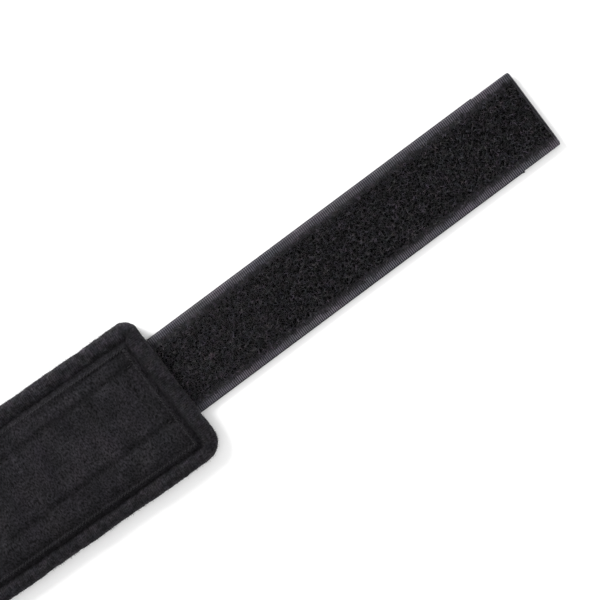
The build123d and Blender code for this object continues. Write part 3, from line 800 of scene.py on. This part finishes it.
def tape(name, line, stations, half, selvage, side, tip=None, flare=None):
    """One woven tape, its looped field between ribbed selvages. side is 1 for the upper, -1 for the under."""
    low, high = (TAPE_LOW, TAPE_HIGH) if side > 0 else (UNDER_LOW, UNDER_HIGH)
    half += -UPPER_TRIM if side > 0 else UNDER_SPREAD
    field = half - selvage
    splay = np.zeros(len(stations)) if flare is None else 0.15 * smooth((stations - flare + 1.6) / 1.4)
    path = line.at(stations, -splay, (low + high) / 2 + sway(stations))
    middle = np.linspace(-field, field, int(field * 3.4))[1:-1]
    t_face = np.concatenate([np.linspace(-half, -field, 13), middle, np.linspace(field, half, 13)])
    t_back = np.linspace(-half, half, 9)
    start = stations[0]

    def woven(s, t):
        return smooth((np.abs(t) - field - 0.35 * noise(s, t * 0.2, 1.1, 40 + side)) / 0.5 + 0.5)

    def face(along, t):
        s = along + start
        ribs = 0.07 * weft(s, t)
        edge_cord = 0.12 * smooth((np.abs(t) - half + 1.3) / 0.5)
        gutter = -0.16 * dimple(np.abs(t) - field - 0.5, 0.35)
        bed = 0.16 + 0.16 * noise(s, t, 0.7, 43) + 0.10 * noise(s, t, 2.3, 44)
        sealed = 0 if tip is None else smooth((s - tip + 1.5) / 0.5)
        return (woven(s, t) * (ribs + edge_cord) + gutter + (1 - woven(s, t)) * bed) * (1 - 0.8 * sealed)

    narrow = -splay if tip is None else rounded(stations, tip)
    points, faces = ribbon(path, side * line.across, [0, 0, float(side)], half, high - low, t_face, t_back,
                           face, level, narrow)
    s, t = line.local(points[:, 0], points[:, 1])
    # Rib tops painted lighter and rib gaps darker, as painted highlight and shade.
    ribs = 1 + 0.95 * np.clip(1.5 * weft(s, side * t), -1, 1)
    # Painted shade on the selvage beside the pile, and a painted highlight along the tape's outer edge.
    ramp = 0.35 + 0.65 * smooth((np.abs(t) - field) / 3.2) + 0.35 * smooth((np.abs(t) - half + 1.0) / 0.6)
    tone = ribs * ramp * (1 + 0.12 * noise(s, t, 3, 45))
    # The under tape is painted darker, most at the edge that shows beside the upper tape, as painted shade
    # under it.
    if side < 0:
        tone = tone * np.where(np.abs(t) > half - 0.5, 0.3, 0.8)
    # The tape's side walls painted darker, as painted shade.
    tone = np.where(np.abs(t) > half + 0.05, 0.35 * tone, tone)
    piece = make(name, points, faces, TAPE, tone)

    def in_field(centres):
        s, t = line.local(centres[:, 0], centres[:, 1])
        middle = (low + high) / 2 + sway(s)
        inside = (woven(s, side * t) < 0.5) & (side * (centres[:, 2] - middle) > 0.1)
        return inside if tip is None else inside & (s < tip - 1.5)

    # The field under the loops takes the shaded bed, painted shade under the pile.
    paint(piece, SHADED_PILE_BED, in_field)
    if tip is not None:
        paint(piece, SEALED, lambda centres: line.local(centres[:, 0], centres[:, 1])[0] > tip - 0.4)
    return piece


def pile(name, line, start, stop, field, side, count, seed):
    """Curly loops of filament standing on a tape's field, with some splayed over its selvages."""
    rng = np.random.default_rng(seed)
    fringe = count // 6
    columns = int(math.sqrt((count - fringe) * 2 * field / (stop - start)))
    rows = (count - fringe) // columns
    i, j = np.meshgrid(np.arange(rows), np.arange(columns), indexing="ij")
    s = start + (i.ravel() + rng.uniform(0, 1, i.size)) * (stop - start) / rows
    t = -field + (j.ravel() + rng.uniform(-0.1, 1.1, j.size)) * 2 * field / columns
    over = rng.choice([-1.0, 1.0], fringe) * (field + 2.4 * (1 - np.sqrt(rng.uniform(0, 1, fringe))))
    s, t = np.append(s, rng.uniform(start, stop, fringe)), np.append(t, over)
    flat = np.append(np.ones(rows * columns), np.full(fringe, 0.3))[:, None]
    radius = rng.uniform(0.35, 0.85, s.size)[:, None] * (1.15 - 0.15 * flat)
    tall = rng.uniform(0.7, 1.4, s.size)[:, None]
    lean = rng.normal(0, 0.8, s.size)[:, None]
    curl = rng.normal(0, 0.28, s.size)[:, None]
    turn = rng.uniform(0, 2 * np.pi, s.size)[:, None]
    phi = np.linspace(-0.35, np.pi + 0.35, 7)[None, :]
    x = radius * np.cos(phi)
    z = np.minimum(radius * tall * (np.sin(phi) + 0.25), 1.1)
    y = lean * z + curl * np.sin(2 * phi)
    reach = flat if side > 0 else 0.45 * flat
    ground = TAPE_HIGH if side > 0 else UNDER_LOW
    s_path = s[:, None] + x * np.cos(turn) - y * np.sin(turn)
    t_path = t[:, None] + x * np.sin(turn) + y * np.cos(turn)
    paths = line.at(s_path, t_path, ground + side * (z * reach + 0.08) + sway(s)[:, None])
    # A random shade per loop, painted darker low on each loop and lighter at its top, as painted shade and
    # highlight.
    lit = np.minimum(rng.lognormal(-0.1, 0.95, s.size)[:, None] * (0.3 + 0.95 * z), 3.2)
    shape = tubes(paths, rng.uniform(0.07, 0.115, s.size)[:, None], 3)
    return make(name, *shape, LOOPS, np.repeat(lit.ravel(), 3))


def plate(name, line, start, stop, half, low, high):
    """Moulded hook tab: a thin ribbed plate whose hooks point down."""
    stations = np.append(np.arange(start, stop, 0.35), stop)
    path = line.at(stations, 0.0, (low + high) / 2 + sway(stations))
    t_face = np.linspace(-half, half, int(half * 6))
    t_back = np.linspace(-half, half, 9)
    shape = ribbon(path, -line.across, [0, 0, -1.0], half, high - low, t_face, t_back,
                   lambda along, t: 0.05 * wave(t, 1.3) + 0 * along, level, rounded(stations, stop))
    rows, columns = np.arange(start + 1.2, stop - 1.0, 0.95), np.arange(-half + 1.3, half - 1.0, 1.3)
    s, t = (v.ravel() for v in np.meshgrid(rows, columns, indexing="ij"))
    facing = np.where(np.arange(s.size) % len(columns) % 2 == 0, 1.0, -1.0)[:, None]
    stem = np.array([0.0, 0.0, 0.02, 0.10, 0.24, 0.34, 0.36])[None, :]
    drop = np.array([-0.1, 0.15, 0.32, 0.42, 0.42, 0.32, 0.22])[None, :]
    paths = line.at(s[:, None] + facing * stem, t[:, None] + 0 * stem, low + sway(s)[:, None] - drop)
    hooks = tubes(paths, np.array([0.16, 0.14, 0.12, 0.11, 0.10, 0.08, 0.05])[None, :], 4)
    return make(name, *join_shapes([shape, hooks]), HOOKS)


def sewn_lines(line, corners, height, side, pitch=SEAM_PITCH):
    """Stitches along straight lines between (s, t) corners, at the heights that height(s, t) gives."""
    shapes = []
    for (s0, t0), (s1, t1) in zip(corners, corners[1:]):
        far = math.hypot(s1 - s0, t1 - t0)
        share = (np.arange(int(far / pitch)) + 0.5) / int(far / pitch)
        s, t = s0 + (s1 - s0) * share, t0 + (t1 - t0) * share
        place = line.at(s, t, 0.0)[:, :2]
        heading = ((s1 - s0) * line.along + (t1 - t0) * line.across)[:2] / far
        tangent = np.broadcast_to(heading, place.shape)
        shapes.append(stitches(place, tangent, height(s, t), 2.4, 0.26, proud=0.04, side=side))
    return join_shapes(shapes)


def lying_on(line, surface, lift):
    """Heights for stitches on a surface, given along a strap's own directions."""
    return lambda s, t: surface(*line.at(s, t, 0.0)[:, :2].T) + lift


def box_corners(start, stop, half, inset=1.8):
    a, b, c = start + inset, stop - inset, half - inset
    return [(a, -c), (b, -c), (b, c), (a, c), (a, -c)]


STRAP_FOLD_ZONE = tuple(STRAP.at(s, 0.0, Z_UNDER) for s in (FOLD_CLEAR, FOLD_CLEAR + 10))
STRAP_CURL_ZONE = tuple(STRAP.at(s, 0.0, Z_UNDER) for s in (STRAP_BEND - 6, STRAP_BEND + 6))
HAND_FOLD_ZONE = tuple(HAND.at(s, 0.0, Z_UNDER) for s in (FOLD_CLEAR, FOLD_CLEAR + 10))
NEAR = ("arm", "strap", STRAP_FOLD_ZONE)
FAR = ("strap", "strap_tip", STRAP_CURL_ZONE)
HAND_BEND = ("palm", "hand_strap", HAND_FOLD_ZONE)
STRAP_CUT = 50.0                    # where the near and far lengths of mesh meet
PILE_HIDDEN, PILE_SHORT = 2.6, 1.7  # the pile starts under the padded edge and stops before the tip


def make_hook_tab(name, seam_name, line, tip, half, cad, body):
    """The hook tab under a strap's tip, and its seam."""
    start = tip - HOOK_LENGTH
    tab = plate(name, line, start, tip, half - 0.2, HOOK_LOW, Z_UNDER)
    finish_piece(tab, [cad + "_tab"], body)
    seam = sewn_lines(line, box_corners(start, tip, half), lambda s, t: HOOK_SEAM + sway(s), -1)
    add_piece(seam_name, seam, THREAD, [cad + "_seam"], body)


def make_wrist_strap():
    field = STRAP_HALF - SELVAGE
    hidden = np.arange(-STRAP_SEWN, -12, 1.0)
    near = np.concatenate([hidden, np.arange(-12, STRAP_CUT + FINE / 2, FINE)])
    far = np.arange(STRAP_CUT, STRAP_TIP + FINE / 2, FINE)
    top = tape("wrist_strap_top_near", STRAP, near, STRAP_HALF, SELVAGE, 1)
    finish_piece(top, ["strap_top_sewn", "strap_top_near"], NEAR)
    top = tape("wrist_strap_top_far", STRAP, far, STRAP_HALF, SELVAGE, 1, tip=far[-1])
    finish_piece(top, ["strap_top_tip"], FAR)
    under_end = STRAP_TIP - HOOK_LENGTH
    stations = np.arange(-STRAP_SEWN, STRAP_CUT + 0.1, UNDER_STEP)
    under = tape("wrist_strap_under_near", STRAP, stations, STRAP_HALF, SELVAGE, -1)
    finish_piece(under, ["strap_under_sewn", "strap_under_near"], NEAR)
    stations = np.arange(STRAP_CUT, under_end - 0.1, UNDER_STEP)
    under = tape("wrist_strap_under_far", STRAP, stations, STRAP_HALF, SELVAGE, -1, flare=stations[-1])
    finish_piece(under, ["strap_under_tip"], FAR)
    middle = (STRAP_CUT + STRAP_TIP) / 2
    for part, start, stop, side, count, seed, zone in (
            ("loops_near", -PILE_HIDDEN, STRAP_CUT, 1, 5200, 51, NEAR),
            ("loops_middle", STRAP_CUT, middle, 1, 5200, 52, FAR),
            ("loops_tip", middle, STRAP_TIP - PILE_SHORT, 1, 5200, 53, FAR),
            ("under_loops_near", -STRAP_SEWN, STRAP_CUT, -1, 5200, 54, NEAR),
            ("under_loops_far", STRAP_CUT, under_end, -1, 4600, 55, FAR)):
        loops = pile("wrist_strap_" + part, STRAP, start, stop, field, side, count, seed)
        finish_piece(loops, [], zone)
    make_hook_tab("wrist_hook_tab", "wrist_hook_stitches", STRAP, STRAP_TIP, STRAP_HALF, "strap_hook",
                  "strap_tip")


def make_strap_seam():
    """The two rows that hold the strap under the padded arm."""
    valley = lying_on(STRAP, lambda x, y: lining_top(x, y, np.full(len(x), 20.0)), -0.34)
    shapes = []
    for t in (-SEAM_HALF_GAP, SEAM_HALF_GAP):
        corners = [(-STRAP_SEWN + 4, t), (-11.0, t)]
        shapes.append(sewn_lines(STRAP, corners, lambda s, t: UNDER_LOW + sway(s), -1))
        shapes.append(sewn_lines(STRAP, corners, valley, 1))
    add_piece("strap_stitches", join_shapes(shapes), THREAD, ["strap_seam"], "arm", 0.5)


def make_hand_strap():
    field = HAND_HALF - HAND_SELVAGE
    hidden = np.arange(-HAND_SEWN, -6, 1.0)
    stations = np.concatenate([hidden, np.arange(-6, HAND_TIP + FINE / 2, FINE)])
    top = tape("hand_strap_top_tape", HAND, stations, HAND_HALF, HAND_SELVAGE, 1, tip=stations[-1])
    finish_piece(top, ["hand_strap_top", "hand_strap_sewn_end"], HAND_BEND)
    under_end = HAND_TIP - HOOK_LENGTH
    stations = np.arange(-HAND_SEWN, under_end - 0.1, UNDER_STEP)
    under = tape("hand_strap_under_tape", HAND, stations, HAND_HALF, HAND_SELVAGE, -1, flare=stations[-1])
    finish_piece(under, ["hand_strap_under"], HAND_BEND)
    loops = pile("hand_strap_loops", HAND, -PILE_HIDDEN, HAND_TIP - PILE_SHORT, field, 1, 5200, 56)
    finish_piece(loops, [], HAND_BEND)
    loops = pile("hand_strap_under_loops", HAND, -HAND_SEWN, under_end, field, -1, 4000, 57)
    finish_piece(loops, [], HAND_BEND)
    make_hook_tab("hand_hook_plate", "hand_hook_stitches", HAND, HAND_TIP, HAND_HALF, "hand_hook",
                  "hand_strap")
    corners = box_corners(-HAND_SEWN, -1.0, HAND_HALF)
    seam = sewn_lines(HAND, corners, lambda s, t: UNDER_LOW + sway(s), -1)
    add_piece("hand_strap_stitches", seam, THREAD, ["hand_strap_seam"], "palm")


# ---- ring tabs, pocket, label
def loop_path(swivel, bar_height, radius, low, high):
    """Centreline of webbing that runs out along the table, round a ring's bar, and back under the padding."""
    out = [(s, low) for s in (-11.0, -8.0, -4.0, 0.0, 3.0)]
    anchor = np.array([0.6, high])
    centre = np.array([swivel, bar_height])
    gap = centre - anchor
    far = np.linalg.norm(gap)
    leave = math.atan2(gap[1], gap[0]) + math.asin(radius / far)
    last = leave + math.pi / 2
    arc = [(swivel + radius * math.cos(a), bar_height + radius * math.sin(a))
           for a in np.linspace(-math.pi / 2, last, 14)]
    back = [(0.6 + 2.2 * math.cos(leave), high + 2.2 * math.sin(leave)), (0.1, high + 0.15), (-1.0, high),
            (-4.0, high), (-8.0, high), (-11.0, high)]
    points = np.array(out + arc + back)
    length = run(points)
    s = np.arange(0, length[-1], 0.18)
    fine = np.stack([np.interp(s, length, points[:, i]) for i in (0, 1)], 1)
    for _ in range(6):
        fine[1:-1] = (fine[:-2] + 2 * fine[1:-1] + fine[2:]) / 4
    return fine


WEBBING_RIB = 1.9


def make_tab(name, line, half, swivel_joint):
    pos = joint(swivel_joint)[0]
    swivel = line.local(pos[0], pos[1])[0]
    route = loop_path(swivel, pos[2], 2.78, 0.6, 1.78)
    path = line.at(route[:, 0], 0.0, route[:, 1])
    ahead = unit(np.gradient(path, axis=0))
    t = np.linspace(-half, half, int(half * 6))

    def weave(along, t):
        picks = np.cos(2 * np.pi * along / 0.9 + np.pi * (np.floor(t / WEBBING_RIB) % 2))
        return 0.06 * wave(t, WEBBING_RIB) + 0.05 * picks

    shape = ribbon(path, line.across, np.cross(ahead, line.across), half, 1.12, t, t, weave, weave)
    add_piece(name + "_webbing", shape, WEBBING, [name + "_tab"], "palm")
    seam = sewn_lines(line, box_corners(-11.0, 0.0, half), lambda s, t: 0.0 * s + 0.03, -1)
    add_piece(name + "_stitches", seam, THREAD, [name + "_seam"], "palm")


def pocket_under(x, y):
    """Underside of the stay's pocket: flat below the stay, rising to the cover at its sewn sides and end."""
    side = (np.abs(x - X_POCKET) - STAY_HALF - 0.6) / 3.0
    end = (y - POCKET_HIGH[1] + 6.0) / 5.0
    return 0.10 + 2.75 * smooth(np.maximum(side, end)) + 0.05 * noise(x, y, 6, 61)


def make_pocket():
    xs = np.linspace(POCKET_LOW[0], POCKET_HIGH[0], 63)
    x, y = np.meshgrid(xs, np.arange(POCKET_LOW[1], POCKET_HIGH[1] + 0.3, 0.6), indexing="ij")
    half = (POCKET_HIGH - POCKET_LOW)[:2] / 2
    middle = (POCKET_HIGH + POCKET_LOW)[:2] / 2
    corner = np.maximum(np.abs(np.stack([x, y], -1) - middle) - half + 4.0, 0)
    keep = np.hypot(corner[..., 0], corner[..., 1]) <= 4.05
    under = pocket_under(x, y)
    hem = 0.28 * smooth((POCKET_LOW[1] + 7.0 - y) / 0.8)
    ripple = 0.05 * wave(y, SEAM_PITCH) * dimple(np.abs(x - X_POCKET) - POCKET_SEAM, 1.2)
    shape = slab(x, y, keep, under + 0.38, under - 0.02 - 0.06 * hem + ripple)
    piece = add_piece("stay_pocket_cloth", shape, NYLON, ["stay_pocket"], "palm")
    length = 2 * half[1]
    seams = [[(2, t), (length - 2, t)] for t in (-POCKET_SEAM, POCKET_SEAM)]
    seams += [[(6.0, -11.5), (6.0, 11.5)], [(length - 2, -12.5), (length - 2, 12.5)]]
    height = lying_on(POCKET, pocket_under, -0.02)
    rows = join_shapes([sewn_lines(POCKET, corners, height, -1) for corners in seams])
    add_piece("stay_pocket_stitches", rows, THREAD, ["stay_pocket_seam"], "palm")


def make_label():
    low, high = box_mm("care_label")
    xs, ys = (np.arange(low[i], high[i] + 0.1, 0.4) for i in (0, 1))
    x, y = np.meshgrid(xs, ys, indexing="ij")
    inside = depth_in(x, y)
    rest = lining_top(x, y, inside)
    edge = np.minimum(np.minimum(x - low[0], high[0] - x), np.minimum(y - low[1], high[1] - y))
    lift = 0.12 * noise(x, y, 8, 71) + 0.25 * smooth((edge - 1.5) / 4)
    under = rest + 0.16 + lift - 0.1 * dimple(edge - 1.2, 0.5)
    folded = 0.14 * smooth((2.4 - (y - low[1])) / 0.4) + 0.14 * smooth((2.4 - (high[1] - y)) / 0.4)
    shape = slab(x, y, inside > -99, under + 0.2 + folded, under)
    piece = add_piece("care_label_cloth", shape, LABEL, ["care_label"], "palm")
    size = (high - low)[:2]
    line = Line((low[0], low[1]), (0.0, 1.0))
    height = lying_on(line, lambda x, y: lining_top(x, y, depth_in(x, y)), 0.5)
    rows = [sewn_lines(line, [(s, -0.8), (s, -size[0] + 0.8)], height, 1, pitch=2.7)
            for s in (1.2, size[1] - 1.2)]
    add_piece("care_label_stitches", join_shapes(rows), THREAD, [], "palm")


def cover_cad(node, material):
    """Give a kept CAD node its material in every slot."""
    mesh = frame["nodes"][node].data
    mesh.materials.clear()
    mesh.materials.append(material)


make_wrist_strap()
make_strap_seam()
make_hand_strap()
make_tab("wrist_ring", WRIST_TAB, STRAP_HALF, "wrist_ring_swivel")
make_tab("hand_ring", HAND_TAB, HAND_HALF, "hand_ring_swivel")
make_pocket()
make_label()
cover_cad("wrist_ring", ACETAL)
cover_cad("hand_ring", ACETAL)
cover_cad("palmar_stay", brushed_metal())


# ---- stage
FLOOR_HALF, FLOOR_Z = 20, -0.0004           # metres


def stage():
    floor_mesh = bpy.data.meshes.new("floor")
    corners = [(x * FLOOR_HALF, y * FLOOR_HALF, FLOOR_Z) for x, y in ((-1, -1), (1, -1), (1, 1), (-1, 1))]
    floor_mesh.from_pydata(corners, [], [(0, 1, 2, 3)])
    floor = link("floor", floor_mesh)
    paper = bpy.data.materials.new("white_paper")
    paper.use_nodes = True
    shader = paper.node_tree.nodes["Principled BSDF"]
    shader.inputs["Base Color"].default_value = (0.86, 0.86, 0.86, 1)
    shader.inputs["Roughness"].default_value = 0.9
    floor_mesh.materials.append(paper)


def light(name, place, size, power, target=(0.12, -0.02, 0)):
    lamp = bpy.data.lights.new(name, "AREA")
    lamp.shape = "DISK"
    lamp.size = size
    lamp.energy = power
    holder = link(name, lamp)
    holder.location = place
    holder.rotation_mode = "QUATERNION"
    holder.rotation_quaternion = (Vector(target) - Vector(place)).to_track_quat("-Z", "Y")


def camera():
    data = bpy.data.cameras.new("camera")
    data.lens = 90
    data.clip_end = 20
    holder = link("camera", data)
    holder.location = STRAP.at(62.0, -6.0, 638.5) * MM
    holder.rotation_euler = (0, 0, math.radians(-34.97))
    bpy.context.scene.camera = holder


stage()
light("key", (-0.75, 1.5, 0.85), 0.9, 56)
light("fill", (1.3, -0.6, 1.5), 1.6, 10)
world = bpy.data.worlds.new("studio")
world.use_nodes = True
world.node_tree.nodes["Background"].inputs["Color"].default_value = (1, 1, 1, 1)
world.node_tree.nodes["Background"].inputs["Strength"].default_value = 0.95
bpy.context.scene.world = world
bpy.context.scene.view_settings.view_transform = "Standard"
camera()
